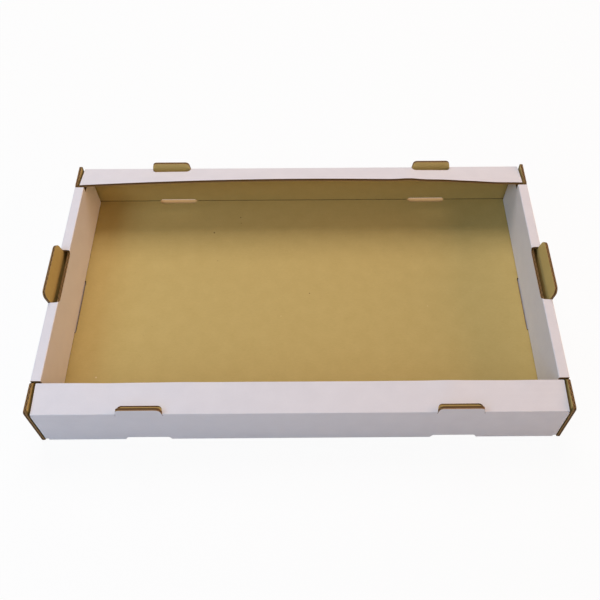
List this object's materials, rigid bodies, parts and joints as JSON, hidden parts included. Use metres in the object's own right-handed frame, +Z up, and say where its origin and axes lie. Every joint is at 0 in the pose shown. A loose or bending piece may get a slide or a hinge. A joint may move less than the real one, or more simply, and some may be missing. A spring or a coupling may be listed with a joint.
{
  "type": "cardboard tray box",
  "caption": "Shallow rectangular tray folded from one sheet of corrugated board, with hollow side walls, inward flanges, standing tabs and bottom slots for stacking.",
  "frame": {"origin": "on the underside, in the middle of the footprint", "axes": "+X along the long side to the right, +Y to the back, +Z up out of the tray's mouth"},
  "size_m": [0.537, 0.3268, 0.0763],
  "materials": {
    "board": "matte kraft liner, the inside of the tray",
    "white_liner": "matte white liner, the outside of the tray",
    "board_edge": "raw cut edge with the flutes showing"
  },
  "bodies": {
    "root": {"tray": "board"}
  },
  "joints": []
}
